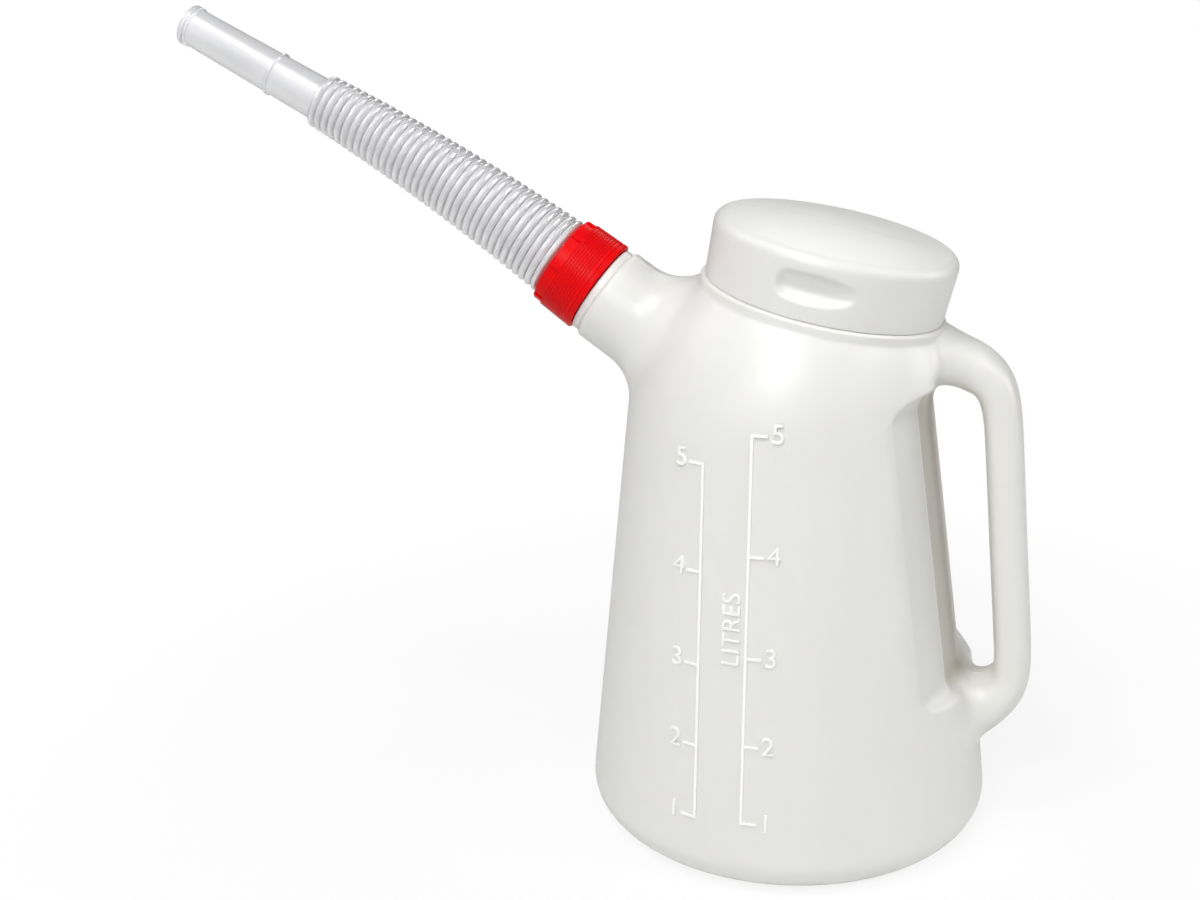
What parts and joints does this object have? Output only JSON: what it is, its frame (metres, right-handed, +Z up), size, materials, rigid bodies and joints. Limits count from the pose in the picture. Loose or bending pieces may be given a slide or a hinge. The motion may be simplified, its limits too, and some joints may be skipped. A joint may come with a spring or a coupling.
{
  "type": "oil measuring jug",
  "caption": "Tapered measuring jug with hollow handle, tilted push-on lid, and a flexible corrugated pouring spout held by a threaded collar.",
  "frame": {"origin": "centre of the foot, on the surface the jug stands on", "axes": "+Z up, +X from the middle towards the handle, -X towards the spout, Y = 0 the plane of symmetry"},
  "size_m": [0.4283, 0.1966, 0.3936],
  "materials": {
    "body": "satin natural polyethylene",
    "lid": "satin natural polyethylene",
    "collar": "red, semi-gloss",
    "spout": "translucent, semi-gloss"
  },
  "bodies": {
    "jug": {"jug_body": "body"},
    "lid": {"lid": "lid"},
    "collar": {"collar_nut": "collar"},
    "spout": {"flexible_spout": "spout"}
  },
  "joints": [
    {"name": "lid_lift", "type": "slide", "parent": "jug", "child": "lid", "axis": [0.2062, 0, 0.9785], "range_m": [0, 0.06]},
    {"name": "spout_draw", "type": "slide", "parent": "jug", "child": "spout", "axis": [-0.8192, 0, 0.5736], "range_m": [0, 0.012]},
    {"name": "collar_turn", "type": "hinge", "parent": "spout", "child": "collar", "pos_m": [-0.09485, 0, 0.2602], "axis": [-0.8192, 0, 0.5736], "range_deg": [0, 1080]}
  ],
  "couplings": [
    {"joint": "collar_turn", "follows": "spout_draw", "rad_per_m": 1570.8}
  ]
}
